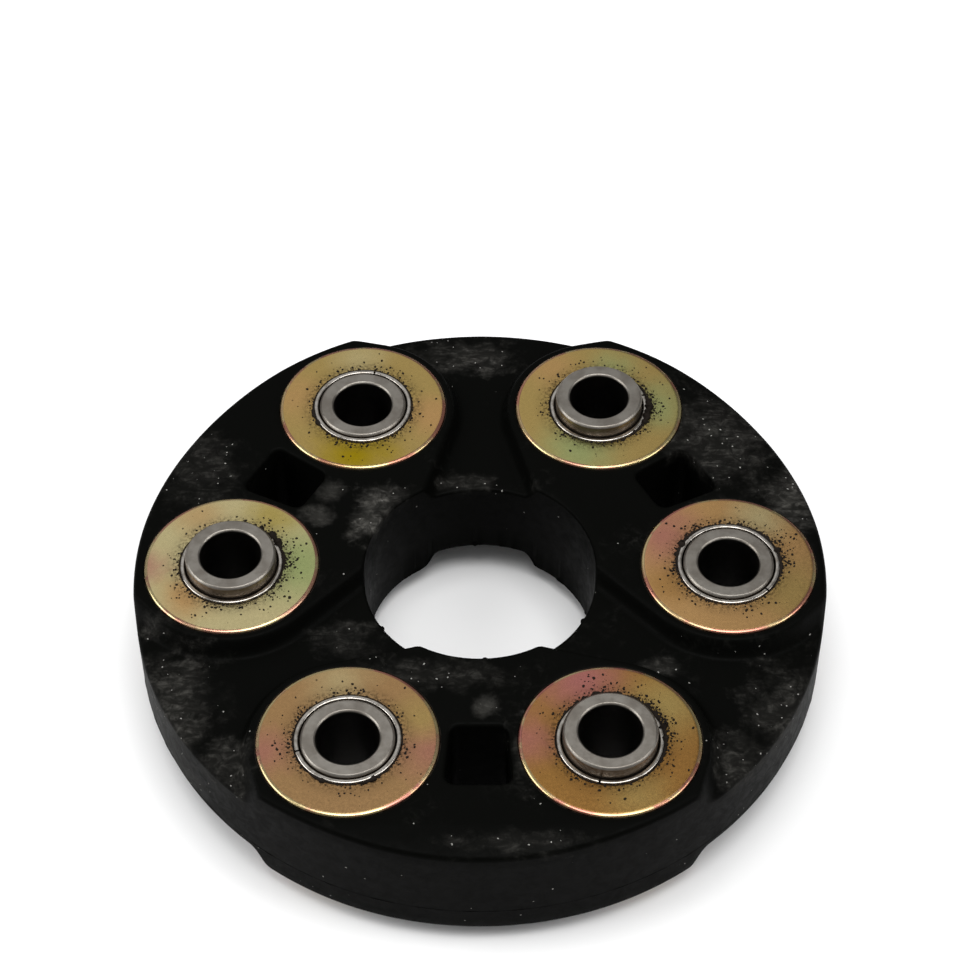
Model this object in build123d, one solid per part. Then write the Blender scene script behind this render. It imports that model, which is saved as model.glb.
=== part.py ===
from build123d import *
from math import acos, atan2, cos, radians, sin, sqrt
import os

# A flexible disc coupling for a propeller shaft. Six steel bushings stand on one bolt circle in a
# moulded rubber disc. Loops of wound cord inside the rubber tie each bushing to its two neighbours:
# a pair of loops, one above the other, carries the drive, and a single loop in the middle plane
# carries the overrun. The rubber is thick over the driving pairs, and those three raised lands
# repeat on the underside. The origin is the centre of the disc, on its middle plane, and +Z is the
# shaft. Lengths are in millimetres and angles in degrees.

# Bolt circle and stack
bushing_count = 6
pitch_radius = 50.0
stack_height = 26.4

# Sleeves: the thick turned tubes that the bolts pass through. Each one is pressed in off centre,
# so that it stands out at one face as a spigot and ends nearly flush at the other.
sleeve_bore = 12.1
sleeve_wall = 3.05
spigot_height = 3.1
flush_height = 0.7
sleeve_chamfer = 0.45

# Liners: thin rings rolled from sheet round the sleeves, each with a butt seam
liner_clearance = 0.3
liner_wall = 0.9
liner_proud = 0.3
liner_seam = 0.4
seam_offset = -43.0

# End washers, pressed flush into the rubber on both faces
washer_diameter = 35.2
washer_thickness = 1.5
washer_proud = 0.4
washer_clearance = 0.06

# Cord loops, wound directly on the liners
loop_width = 6.0
loop_cover = 0.7
loop_gap = 0.8
thrust_loop_height = 8.0

# Rubber disc
rim_margin = 2.0
hole_wall = 3.7
valley_depth = 3.6
valley_rim_drop = 1.2
underside_rim_drop = 0.4
valley_rim_slope_width = 13.6
rim_chamfer = 0.8
mould_step = 0.35
mould_line_rise = 3.0

# Raised lands
land_margin = 1.6
land_flank_lean = 17.0
land_draft = 21.0
land_chamfer = 0.6
land_rim_chamfer_width = 1.0
land_rim_chamfer_height = 1.4
shoulder_margin = 1.4
shoulder_drop = 1.1
underside_shoulder_drop = 0.3

# Windows through the lands, between the two washers
window_length = 13.3
window_skin = 0.6
window_wall = 0.84
window_taper = 1.0
window_corner_radius = 2.0
window_round_limit = 0.8

# Values that follow from the driving dimensions
turn_step = 360 / bushing_count
half_step = turn_step / 2
stack_half = stack_height / 2
land_z = stack_half - washer_proud
pocket_z = stack_half - washer_thickness
floor_z = land_z - valley_depth
rim_z = floor_z - valley_rim_drop
underside_rim_z = underside_rim_drop - floor_z
mould_line_z = underside_rim_z + mould_line_rise
washer_radius = washer_diameter / 2
pocket_radius = washer_radius + washer_clearance
sleeve_radius = sleeve_bore / 2 + sleeve_wall
liner_inner_radius = sleeve_radius + liner_clearance
liner_outer_radius = liner_inner_radius + liner_wall
washer_bore_radius = liner_outer_radius + washer_clearance
loop_outer_radius = liner_outer_radius + loop_width
land_radius = washer_radius + land_margin
pair_x = pitch_radius * cos(radians(half_step))
pair_y = pitch_radius * sin(radians(half_step))
disc_radius = pitch_radius + washer_radius + rim_margin
hole_radius = pair_x - loop_outer_radius - hole_wall
thrust_loop_z = thrust_loop_height / 2
drive_loop_low_z = thrust_loop_z + loop_gap
drive_loop_high_z = pocket_z - loop_cover
lower_radius = disc_radius - mould_step
skirt = 2 * (rim_chamfer + mould_step)
past = 8.0
root_depth = 1.0


def spot(turn, height=0.0):
    """The place of the bushing at this turn, at a height."""
    return Pos(pitch_radius * cos(radians(turn)), pitch_radius * sin(radians(turn)), height)


def turned_section(corners):
    """A ring about the shaft axis from the (radius, height) corners of its section."""
    outline = Polyline(*[(radius, 0, height) for radius, height in corners], close=True)
    return revolve(make_face(outline), Axis.Z)


def tube(outer_radius, inner_radius, low, high):
    """A plain ring from one height to another."""
    ring = Circle(outer_radius) - Circle(inner_radius)
    return extrude(Pos(0, 0, low) * ring, amount=high - low)


def plug(radius, low, high):
    """A plain cylinder from one height to another, to make room for a round piece."""
    return extrude(Pos(0, 0, low) * Circle(radius), amount=high - low)


def sleeve(turn, spigot_up):
    """A tube turned from bar, its four end edges chamfered."""
    inner = sleeve_bore / 2
    high = stack_half + (spigot_height if spigot_up else flush_height)
    low = -stack_half - (flush_height if spigot_up else spigot_height)
    corners = [
        (inner, low + sleeve_chamfer),
        (inner + sleeve_chamfer, low),
        (sleeve_radius - sleeve_chamfer, low),
        (sleeve_radius, low + sleeve_chamfer),
        (sleeve_radius, high - sleeve_chamfer),
        (sleeve_radius - sleeve_chamfer, high),
        (inner + sleeve_chamfer, high),
        (inner, high - sleeve_chamfer),
    ]
    return spot(turn) * turned_section(corners)


def liner(turn, seam_turn):
    """A ring rolled from sheet, with a narrow gap where its two ends meet."""
    reach = stack_half + liner_proud
    ring = tube(liner_outer_radius, liner_inner_radius, -reach, reach)
    middle = (liner_inner_radius + liner_outer_radius) / 2
    seam = Pos(middle, 0, 0) * Box(2 * liner_wall, liner_seam, 2 * reach)
    return spot(turn) * (ring - Rot(0, 0, seam_turn) * seam)


def washer(turn, low):
    """A flat ring blanked from plate, round the liner."""
    return spot(turn) * tube(washer_radius, washer_bore_radius, low, low + washer_thickness)


def racetrack(radius):
    """The plan of a slot with round ends on two neighbouring bushings about +X."""
    return Pos(pair_x, 0, 0) * Rot(0, 0, 90) * SlotCenterToCenter(2 * pair_y, 2 * radius)


def cord_loop(turn, low, high):
    """A flat loop of wound cord round two neighbouring bushings, centred on this turn."""
    plan = racetrack(loop_outer_radius) - racetrack(liner_outer_radius)
    return Rot(0, 0, turn) * extrude(Pos(0, 0, low) * plan, amount=high - low)


def touch_point(start, centre, radius, side):
    """Where the line from a point outside a circle touches it, on one side (1 or -1)."""
    dx = start[0] - centre[0]
    dy = start[1] - centre[1]
    turn = atan2(dy, dx) + side * acos(radius / sqrt(dx * dx + dy * dy))
    return (centre[0] + radius * cos(turn), centre[1] + radius * sin(turn))


def on_circle(centre, radius, turn):
    """The point of a circle at this turn."""
    return (centre[0] + radius * cos(radians(turn)), centre[1] + radius * sin(radians(turn)))


def beyond(start, end, extra):
    """A point past the end of a line, by an extra length."""
    dx = end[0] - start[0]
    dy = end[1] - start[1]
    share = extra / sqrt(dx * dx + dy * dy)
    return (end[0] + share * dx, end[1] + share * dy)


def land_plan():
    """Plan of a land's top about +X. Each flank runs from the corner at the hole, round the washer
    at an even margin, and on past the rim, leaning in. The disc trims both ends."""
    centre = (pair_x, pair_y)
    hole_corner = (hole_radius * cos(radians(half_step)), hole_radius * sin(radians(half_step)))
    inner_touch = touch_point(hole_corner, centre, land_radius, -1)
    crown = on_circle(centre, land_radius, half_step + 90)
    outer_touch = on_circle(centre, land_radius, 90 - land_flank_lean)
    lean = radians(land_flank_lean)
    outer_run = (disc_radius + past - outer_touch[0]) / cos(lean)
    inner_end = beyond(inner_touch, hole_corner, past)
    outer_end = (disc_radius + past, outer_touch[1] - outer_run * sin(lean))
    flank = [
        Line(inner_end, inner_touch),
        ThreePointArc(inner_touch, crown, outer_touch),
        Line(outer_touch, outer_end),
    ]
    other_flank = [mirror(edge, about=Plane.XZ) for edge in flank]
    ends = [
        Line(outer_end, (outer_end[0], -outer_end[1])),
        Line(inner_end, (inner_end[0], -inner_end[1])),
    ]
    return make_face(flank + other_flank + ends)


def land(drop):
    """One raised land of the upper face, about +X: drafted flanks, a broken top edge, and a shoulder
    that slopes down by this drop from the washers to the rim. Both ends run past the disc."""
    depth = valley_depth + valley_rim_drop + rim_chamfer + root_depth
    block = extrude(Pos(0, 0, land_z) * land_plan(), amount=-depth, taper=-land_draft)
    block = chamfer(block.edges().group_by(Axis.Z)[-1], land_chamfer)
    shoulder_x = pair_x + washer_radius + shoulder_margin
    run = disc_radius + 2 * past - shoulder_x
    fall = run * drop / (disc_radius - shoulder_x)
    slope = (
        (shoulder_x, 0, land_z),
        (shoulder_x + run, 0, land_z - fall),
        (shoulder_x + run, 0, land_z + past),
        (shoulder_x, 0, land_z + past),
    )
    wedge = extrude(make_face(Polyline(*slope, close=True)), amount=disc_radius, both=True)
    return block - wedge


def floors():
    """The body between the lands: its two floors fall away at the rim and run past it at the slope of
    the rim's chamfer."""
    break_radius = disc_radius - valley_rim_slope_width
    upper_edge = disc_radius - rim_chamfer
    lower_edge = lower_radius - rim_chamfer
    corners = [
        (0, floor_z),
        (break_radius, floor_z),
        (upper_edge, rim_z),
        (upper_edge + skirt, rim_z - skirt),
        (lower_edge + skirt, underside_rim_z + skirt),
        (lower_edge, underside_rim_z),
        (break_radius, -floor_z),
        (0, -floor_z),
    ]
    return turned_section(corners)


def envelope():
    """The ring that the mould leaves room for: the wall of the hole, and the outer wall with a small
    step where the two halves of the mould met."""
    corners = [
        (hole_radius, land_z),
        (disc_radius - land_rim_chamfer_width, land_z),
        (disc_radius, land_z - land_rim_chamfer_height),
        (disc_radius, mould_line_z),
        (lower_radius, mould_line_z),
        (lower_radius, land_rim_chamfer_height - land_z),
        (lower_radius - land_rim_chamfer_width, -land_z),
        (hole_radius, -land_z),
    ]
    return turned_section(corners)


def window():
    """A tapered hole with round corners, right through a land between its two washers."""
    outer_x = pair_x + liner_outer_radius - window_skin
    inner_x = outer_x - window_length
    outer_y = pair_y - pocket_radius - window_wall
    inner_y = outer_y - window_taper
    corners = [(inner_x, inner_y), (outer_x, outer_y), (outer_x, -outer_y), (inner_x, -inner_y)]
    plan = make_face(Polyline(*corners, close=True))
    plan = fillet(plan.vertices(), min(window_corner_radius, window_round_limit * inner_y))
    return extrude(plan, amount=stack_height, both=True)


def drive_cords(turn):
    """The upper and the lower loop that carry the drive."""
    upper = cord_loop(turn, drive_loop_low_z, drive_loop_high_z)
    lower = cord_loop(turn, -drive_loop_high_z, -drive_loop_low_z)
    return upper, lower


def thrust_cord(turn):
    """The single loop that carries the overrun."""
    return cord_loop(turn, -thrust_loop_z, thrust_loop_z)


def rubber(drive_turns, thrust_turns, bushing_turns):
    """The moulded rubber, with the room that the steel and the cords take up in it."""
    upper = land(shoulder_drop)
    lower = Rot(180, 0, 0) * land(underside_shoulder_drop)
    body = floors()
    for turn in drive_turns:
        body = body + Rot(0, 0, turn) * upper + Rot(0, 0, turn) * lower
    body = body & envelope()
    for turn in drive_turns:
        body = body - Rot(0, 0, turn) * window()
        for cord in drive_cords(turn):
            body = body - cord
    for turn in thrust_turns:
        body = body - thrust_cord(turn)
    liner_hole = plug(liner_outer_radius, -stack_half, stack_half)
    upper_pocket = plug(pocket_radius, pocket_z, stack_half)
    lower_pocket = plug(pocket_radius, -stack_half, -pocket_z)
    for turn in bushing_turns:
        for hollow in (liner_hole, upper_pocket, lower_pocket):
            body = body - spot(turn) * hollow
    return body


def save(shape, node):
    """One file for each piece, named as the piece."""
    export_step(shape, f"parts/{node}.step")


def make_parts():
    """Every piece in its place. The bushings count from +X, and lands and valleys alternate."""
    bushing_turns = [turn_step * index for index in range(bushing_count)]
    drive_turns = [turn + half_step for turn in bushing_turns[::2]]
    thrust_turns = [turn + half_step for turn in bushing_turns[1::2]]
    save(rubber(drive_turns, thrust_turns, bushing_turns), "rubber_body")
    for index, turn in enumerate(bushing_turns):
        number = index + 1
        save(sleeve(turn, spigot_up=index % 2 == 1), f"inner_sleeve_{number}")
        save(liner(turn, seam_turn=turn + seam_offset), f"liner_ring_{number}")
        save(washer(turn, pocket_z), f"top_washer_{number}")
        save(washer(turn, -stack_half), f"bottom_washer_{number}")
    for index, turn in enumerate(drive_turns):
        upper, lower = drive_cords(turn)
        save(upper, f"drive_cord_upper_{index + 1}")
        save(lower, f"drive_cord_lower_{index + 1}")
    for index, turn in enumerate(thrust_turns):
        save(thrust_cord(turn), f"thrust_cord_{index + 1}")


os.makedirs("parts", exist_ok=True)
make_parts()
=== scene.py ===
# %% [markdown]
# # A flexible disc coupling in rubber and steel
# This lesson dresses a rubber disc coupling, the part that joins two halves of a propeller shaft and
# lets them flex. A moulded rubber disc holds six steel bushings. Each bushing is a turned sleeve in a
# rolled liner, with a plated washer on either face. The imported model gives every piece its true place
# and size. The lesson remakes the pieces that show, because soft moulded edges and rolled rims need a
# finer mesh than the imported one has, and it gives the hidden cords a finish where they lie.

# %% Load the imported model
import bpy
import bmesh
from math import acos, atan2, cos, degrees, exp, pi, radians, sin, tan
import numpy as np
from mathutils import Vector, Matrix, noise
from mathutils.geometry import delaunay_2d_cdt


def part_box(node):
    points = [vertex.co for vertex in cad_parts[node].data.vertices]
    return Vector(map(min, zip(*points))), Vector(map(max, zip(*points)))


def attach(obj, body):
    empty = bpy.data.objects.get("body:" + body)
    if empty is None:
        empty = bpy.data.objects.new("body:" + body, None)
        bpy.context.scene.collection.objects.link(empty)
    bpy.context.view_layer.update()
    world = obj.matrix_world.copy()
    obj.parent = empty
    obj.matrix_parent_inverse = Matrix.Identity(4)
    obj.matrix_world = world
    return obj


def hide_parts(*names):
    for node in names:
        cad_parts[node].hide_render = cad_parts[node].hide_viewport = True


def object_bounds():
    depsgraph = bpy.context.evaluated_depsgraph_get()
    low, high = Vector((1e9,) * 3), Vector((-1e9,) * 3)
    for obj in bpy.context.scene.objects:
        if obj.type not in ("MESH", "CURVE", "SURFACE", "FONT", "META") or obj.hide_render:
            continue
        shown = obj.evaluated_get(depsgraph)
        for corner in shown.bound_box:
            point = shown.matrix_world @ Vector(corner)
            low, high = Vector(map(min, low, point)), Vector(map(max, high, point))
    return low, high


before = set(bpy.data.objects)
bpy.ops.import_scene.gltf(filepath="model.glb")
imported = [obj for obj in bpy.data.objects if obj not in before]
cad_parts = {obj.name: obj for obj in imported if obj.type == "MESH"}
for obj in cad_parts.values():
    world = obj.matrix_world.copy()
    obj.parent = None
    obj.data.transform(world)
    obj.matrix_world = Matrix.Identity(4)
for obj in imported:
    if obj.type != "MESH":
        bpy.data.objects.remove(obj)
packed_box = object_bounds()
MM = 0.001
print("nodes in the model:", len(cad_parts))

# %% [markdown]
# ## Sizes that the finishes share
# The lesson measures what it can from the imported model, so that it follows the model. The washers give
# the bolt circle and the height of the faces, and the disc gives its own radius. The small sizes that
# only matter here, such as the roundness of an edge, are named beside the piece that needs them.

# %% Read the main sizes from the model
def size_of(node):
    """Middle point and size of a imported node, in millimetres."""
    low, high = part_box(node)
    middle = [(a + b) / 2 / MM for a, b in zip(low, high)]
    size = [(b - a) / MM for a, b in zip(low, high)]
    return middle, size


def point_at(centre, radius, bearing):
    """The point at this distance from a centre, at a bearing in degrees."""
    return centre[0] + radius * cos(radians(bearing)), centre[1] + radius * sin(radians(bearing))


disc_size = size_of("rubber_body")[1]
washer_middle, washer_size = size_of("top_washer_1")
liner_size = size_of("liner_ring_1")[1]

BUSHINGS = 6
PITCH = washer_middle[0]
DISC_R = disc_size[0] / 2
WASHER_R = washer_size[0] / 2
WASHER_THICK = washer_size[2]
WASHER_TOP = washer_middle[2] + WASHER_THICK / 2
LINER_R = liner_size[0] / 2
LAND_TOP = disc_size[2] / 2
PAIR_X = PITCH * cos(pi / BUSHINGS)
PAIR_Y = PITCH * sin(pi / BUSHINGS)
REST_Z = packed_box[0][2] / MM
print("bolt circle", round(2 * PITCH, 2), "disc", round(2 * DISC_R, 2), "washer", round(2 * WASHER_R, 2))

# %% [markdown]
# ## Camera
# The photograph looks down on the disc at about forty nine degrees with a fairly long lens. The
# place and the three angles below were worked out from the six round washers, which are circles of one
# size on one plane. The camera comes first, because it decides how fine each later detail has to be.

# %% Place the camera
CAMERA_AT_MM = (3.2, -337.2, 422.3)
CAMERA_TURN, CAMERA_TILT, CAMERA_ROLL = 0.52, 41.32, -0.37
LENS_MM = 98.8
SENSOR_MM = 36.0

camera_data = bpy.data.cameras.new("camera")
camera_data.lens = LENS_MM
camera_data.sensor_width = SENSOR_MM
camera_data.clip_start = 0.01
camera_data.clip_end = 20.0
camera = bpy.data.objects.new("camera", camera_data)
bpy.context.scene.collection.objects.link(camera)
turned_view = (Matrix.Rotation(radians(CAMERA_TURN), 4, "Z")
               @ Matrix.Rotation(radians(CAMERA_TILT), 4, "X")
               @ Matrix.Rotation(radians(CAMERA_ROLL), 4, "Z"))
camera.matrix_world = Matrix.Translation(Vector(CAMERA_AT_MM) * MM) @ turned_view
bpy.context.scene.camera = camera
bpy.context.scene.view_settings.view_transform = "Standard"
print("camera", [round(v, 3) for v in camera.location])

# %% [markdown]
# ## Nodes for the finishes
# Each finish is a small tree of shader nodes. Two helpers keep the trees short: one adds a node with
# its settings and inputs, the other starts a material. An input that is given another node's socket is
# linked, and any other input is set. All patterns read Object coordinates, so they stay on the piece.

# %% Helpers for node trees
def add(tree, kind, inputs=(), **settings):
    """A new node of this kind. Inputs are (name or number, value or socket) pairs."""
    made = tree.nodes.new(kind)
    for name, value in settings.items():
        setattr(made, name, value)
    for key, value in inputs:
        if isinstance(value, bpy.types.NodeSocket):
            tree.links.new(value, made.inputs[key])
        else:
            made.inputs[key].default_value = value
    return made


def start_finish(name, roughness, metallic=0.0, colour=(0.5, 0.5, 0.5)):
    """A material with one shader, and the socket of its Object coordinates."""
    made = bpy.data.materials.new(name)
    made.use_nodes = True
    tree = made.node_tree
    shader = tree.nodes["Principled BSDF"]
    shader.inputs["Roughness"].default_value = roughness
    shader.inputs["Metallic"].default_value = metallic
    shader.inputs["Base Color"].default_value = (*colour, 1.0)
    place = add(tree, "ShaderNodeTexCoord").outputs["Object"]
    return made, tree, shader, place


def noise_of(tree, place, per_mm, detail=4.0, rough=0.55, warp=0.0):
    """Noise with features of one over per_mm millimetres."""
    inputs = [("Vector", place), ("Scale", per_mm / MM), ("Detail", detail), ("Roughness", rough)]
    return add(tree, "ShaderNodeTexNoise", inputs + [("Distortion", warp)]).outputs["Fac"]


def maths(tree, operation, first, second=0.0, third=0.0):
    """One sum on numbers or sockets."""
    made = add(tree, "ShaderNodeMath", [(0, first), (1, second), (2, third)], operation=operation)
    return made.outputs[0]


def times(tree, first, second):
    """The product of two numbers or sockets."""
    return maths(tree, "MULTIPLY", first, second)


def vectors(tree, operation, *values):
    """The outputs of one sum on vectors."""
    return add(tree, "ShaderNodeVectorMath", list(enumerate(values)), operation=operation).outputs


def fade(tree, value, low, high, start=0.0, end=1.0):
    """The value spread from start to end, between its low and its high, and held beyond them."""
    ends = [("From Min", low), ("From Max", high), ("To Min", start), ("To Max", end)]
    made = add(tree, "ShaderNodeMapRange", [("Value", value)] + ends, interpolation_type="SMOOTHSTEP")
    return made.outputs[0]


def mixed(tree, share, first, second):
    """A colour between two, by a share from 0 to 1."""
    made = add(tree, "ShaderNodeMix", [(0, share), (6, first), (7, second)], data_type="RGBA")
    return made.outputs[2]


def away_from(tree, place, point_mm, stretch=(1.0, 1.0, 1.0)):
    """Distance in millimetres from a point of the object, with each direction weighted."""
    moved = vectors(tree, "SUBTRACT", place, [v * MM for v in point_mm])[0]
    scaled = vectors(tree, "MULTIPLY", moved, [s / MM for s in stretch])[0]
    return vectors(tree, "LENGTH", scaled)["Value"]


def bumped(tree, shader, height, depth_mm, strength=1.0, under=None):
    """A bump of this depth on the shader, over another bump if one is given."""
    pairs = [("Height", height), ("Distance", depth_mm * MM), ("Strength", strength)]
    if under is not None:
        pairs.append(("Normal", under))
    made = add(tree, "ShaderNodeBump", pairs)
    tree.links.new(made.outputs[0], shader.inputs["Normal"])
    return made.outputs[0]


# %% [markdown]
# ## Light, floor and background
# The photograph is a studio shot on white. Big soft lamps stand behind and to the left, where flat
# plated steel mirrors them into the lens, and the rubber keeps its deep black. The floor is a pale matt
# plane that carries the soft shadow, and the world is plain white to the camera but grey in mirrors.

# %% Lamps, floor and world
FLOOR_WIDTH = 6.0
LAMPS = (
    ("lamp_back", (-0.22, 0.78, 0.76), 0.80, 0.95),
    ("lamp_left", (-0.85, -0.05, 0.60), 0.60, 5.0),
    ("lamp_right", (0.90, -0.20, 0.75), 0.50, 3.6),
    ("lamp_top", (0.05, -0.10, 1.10), 0.70, 8.9),
)


def soft_lamp(name, place, width, power):
    """A square lamp that faces the middle of the disc."""
    data = bpy.data.lights.new(name, "AREA")
    data.shape = "SQUARE"
    data.size = width
    data.energy = power
    made = bpy.data.objects.new(name, data)
    made.location = place
    made.rotation_euler = (-Vector(place)).to_track_quat("-Z", "Y").to_euler()
    bpy.context.scene.collection.objects.link(made)


def pale_floor():
    """A matt plane under the lowest sleeves."""
    half = FLOOR_WIDTH / 2
    corners = [(x, y, REST_Z * MM) for x, y in ((-half, -half), (half, -half), (half, half), (-half, half))]
    mesh = bpy.data.meshes.new("floor")
    mesh.from_pydata(corners, [], [(0, 1, 2, 3)])
    made = bpy.data.objects.new("floor", mesh)
    bpy.context.scene.collection.objects.link(made)
    mesh.materials.append(start_finish("floor_white", roughness=0.9, colour=(0.9, 0.9, 0.9))[0])


def white_world(level, mirrored):
    """A world that is white to the camera, lights at one level and shows in mirrors at another."""
    world = bpy.data.worlds.new("studio")
    world.use_nodes = True
    bpy.context.scene.world = world
    tree = world.node_tree
    rays = add(tree, "ShaderNodeLightPath")
    strength = maths(tree, "MULTIPLY_ADD", rays.outputs["Is Glossy Ray"], mirrored - level, level)
    strength = maths(tree, "MAXIMUM", strength, rays.outputs["Is Camera Ray"])
    shader = tree.nodes["Background"]
    shader.inputs["Color"].default_value = (1.0, 1.0, 1.0, 1.0)
    tree.links.new(strength, shader.inputs["Strength"])


for lamp in LAMPS:
    soft_lamp(*lamp)
pale_floor()
white_world(level=0.46, mirrored=0.20)
print("lamps", len(LAMPS), "floor at", round(REST_Z, 2), "mm")

# %% [markdown]
# ## The moulded rubber: where its faces lie
# On the real part the rubber is pressed round the steel and the cords in a two-part mould, so every
# edge is soft and the two halves meet in a thin line of flash. A land is a flat top with leaning sides,
# so its height can be written as one sum: the lower of the top and the side, the higher of that and
# the valley floor. Blending the sums instead of cutting at the exact corner gives the moulded fillets.

# %% Height of the rubber's faces
LAND_TURNS = (30.0, 150.0, 270.0)
HOLE_R = 23.3
POCKET_R = WASHER_R + 0.06
LAND_R = WASHER_R + 1.6
LAND_LEAN = 17.0
DRAFT_SLOPE = tan(radians(21.0))
VALLEY_FLOOR = LAND_TOP - 3.6
VALLEY_BREAK_R = DISC_R - 13.6
SHOULDER_R = WASHER_R + 1.4
SHOULDER_REACH = DISC_R - PAIR_X - SHOULDER_R
EDGE_BLEND, ROOT_BLEND = 1.4, 2.4
FACES = {
    "upper": {"rim_r": DISC_R, "valley_drop": 1.2, "shoulder": 1.0, "rim_round": 1.0, "spacing": 1.15},
    "lower": {"rim_r": DISC_R - 0.35, "valley_drop": 0.4, "shoulder": 0.2, "rim_round": 1.5, "spacing": 1.6},
}
hole_corner = Vector((HOLE_R * cos(pi / 6) - PAIR_X, HOLE_R * sin(pi / 6) - PAIR_Y))
TOUCH_IN = atan2(hole_corner.y, hole_corner.x) - acos(LAND_R / hole_corner.length) + 2 * pi
TOUCH_OUT = radians(90 - LAND_LEAN)


def land_frame(x, y):
    """Places along and across the nearest land. Its halves are alike, so across is never negative."""
    turn = np.degrees(np.arctan2(y, x))
    nearest = np.radians(np.round((turn - 30.0) / 120.0) * 120.0 + 30.0)
    return x * np.cos(nearest) + y * np.sin(nearest), np.abs(y * np.cos(nearest) - x * np.sin(nearest))


def beyond_edge(along, across):
    """How far outside a land's top edge each point lies."""
    du, dv = along - PAIR_X, across - PAIR_Y
    inner_line = du * cos(TOUCH_IN) + dv * sin(TOUCH_IN)
    outer_line = du * cos(TOUCH_OUT) + dv * sin(TOUCH_OUT)
    bearing = np.arctan2(dv, du)
    on_arc = (bearing > TOUCH_OUT) & (bearing < TOUCH_IN)
    return np.where(on_arc, np.hypot(du, dv), np.maximum(inner_line, outer_line)) - LAND_R


def lower_of(first, second, blend):
    """The lower of two heights, with a soft corner where they cross."""
    share = np.maximum(blend - np.abs(first - second), 0.0) / blend
    return np.minimum(first, second) - share * share * blend / 4


def face_height(x, y, face):
    """Height of a face of the rubber above the middle plane, before its outer edges are rounded."""
    along, across = land_frame(x, y)
    side = LAND_TOP - beyond_edge(along, across) / DRAFT_SLOPE
    outside = np.hypot(along - PAIR_X, np.maximum(across - PAIR_Y, 0.0)) - SHOULDER_R
    outside = np.where(along > PAIR_X, np.clip(outside, 0.0, SHOULDER_REACH), 0.0)
    share = outside / SHOULDER_REACH
    top = LAND_TOP - face["shoulder"] * (0.4 * share + 0.6 * share * share)
    fall = np.clip((np.hypot(x, y) - VALLEY_BREAK_R) / (DISC_R - VALLEY_BREAK_R), 0.0, 1.0)
    floor = VALLEY_FLOOR - face["valley_drop"] * fall
    return -lower_of(-lower_of(side, top, EDGE_BLEND), -floor, ROOT_BLEND)


for name, radius, turn in (("land", 35.0, 30.0), ("valley", 35.0, 90.0), ("rim of a valley", DISC_R, 90.0)):
    x, y = np.array(point_at((0, 0), radius, turn))
    print(name, "at", round(float(face_height(x, y, FACES["upper"])), 2), "mm")

# %% [markdown]
# ## The moulded rubber: outlines in plan
# The faces are meshed in plan. Each outline (rim, hole, window, washer pocket) is drawn as a few rings
# close together, spaced so that they follow a quarter round. A bevel modifier could round these edges
# too, but it would need clean quads on both sides, and a moulded face has none.

# %% Rings of the outlines
RIM_POINTS, HOLE_POINTS, POCKET_POINTS = 720, 480, 144
HOLE_ROUND, POCKET_ROUND, WINDOW_ROUND = 0.7, 0.25, 0.85
WINDOW_INNER, WINDOW_OUTER = (39.7, 5.5), (53.0, 6.5)
WINDOW_CORNER_R = 2.0
bushing_spots = [(PITCH * cos(pi / 3 * i), PITCH * sin(pi / 3 * i)) for i in range(BUSHINGS)]


def quarter_round(radius, rings):
    """Inward step and drop of each ring of a rounded edge, from the wall to the face."""
    turns = [pi / 2 * ring / (rings - 1) for ring in range(rings)]
    return [(radius * (1 - cos(turn)), radius * (1 - sin(turn))) for turn in turns]


def circle_points(centre, radius, count):
    """Points round a circle."""
    turns = np.arange(count) * 2 * pi / count
    return np.column_stack([centre[0] + radius * np.cos(turns), centre[1] + radius * np.sin(turns)])


def window_points(turn, outward):
    """Outline of the window on this land, moved outward by a distance."""
    (x_in, y_in), (x_out, y_out) = WINDOW_INNER, WINDOW_OUTER
    lean = degrees(atan2(y_out - y_in, x_out - x_in))
    r = WINDOW_CORNER_R
    corners = [
        (x_out - r, y_out - r * 1.05, 0.0, 90.0 + lean),
        (x_in + r, y_in - r * 0.95, 90.0 + lean, 180.0),
        (x_in + r, -y_in + r * 0.95, 180.0, 270.0 - lean),
        (x_out - r, -y_out + r * 1.05, 270.0 - lean, 360.0),
    ]
    made = []
    for number, (cx, cy, start, end) in enumerate(corners):
        turns = [start + (end - start) * step / 7 for step in range(8)]
        made += [point_at((cx, cy), r + outward, bearing) for bearing in turns]
        nx, ny, after, _ = corners[(number + 1) % 4]
        last, goal = np.array(made[-1]), np.array(point_at((nx, ny), r + outward, after))
        made += [tuple(last + (goal - last) * step / 9) for step in range(1, 9)]
    flat, spin = np.array(made), radians(turn)
    return flat @ np.array([[cos(spin), sin(spin)], [-sin(spin), cos(spin)]])


def inside_outline(points, outline):
    """Which points lie inside a closed outline."""
    inside = np.zeros(len(points), dtype=bool)
    for (x1, y1), (x2, y2) in zip(outline, np.roll(outline, -1, axis=0)):
        if y1 != y2:
            crosses = (y1 > points[:, 1]) != (y2 > points[:, 1])
            inside ^= crosses & (points[:, 0] < (x2 - x1) * (points[:, 1] - y1) / (y2 - y1) + x1)
    return inside


def clear_of_outlines(points, face, room):
    """The points that keep this distance from every rounded edge."""
    radius = np.hypot(points[:, 0], points[:, 1])
    keep = (radius > HOLE_R + HOLE_ROUND + room) & (radius < face["rim_r"] - face["rim_round"] - room)
    for cx, cy in bushing_spots:
        keep &= np.hypot(points[:, 0] - cx, points[:, 1] - cy) > POCKET_R + POCKET_ROUND + room
    for turn in LAND_TURNS:
        keep &= ~inside_outline(points, window_points(turn, WINDOW_ROUND + room))
    return points[keep]


print("window outline:", len(window_points(LAND_TURNS[0], 0.0)), "points")

# %% [markdown]
# ## The moulded rubber: rows and grid
# A flank looks moulded only where the mesh runs along it. A plain grid would cut across the edge of a
# land and leave small steps in the shine. So rows of points follow the edge and the shoulder of each
# land, rings follow the ejector dimples, and an even grid fills the rest and keeps clear of them.

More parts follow.
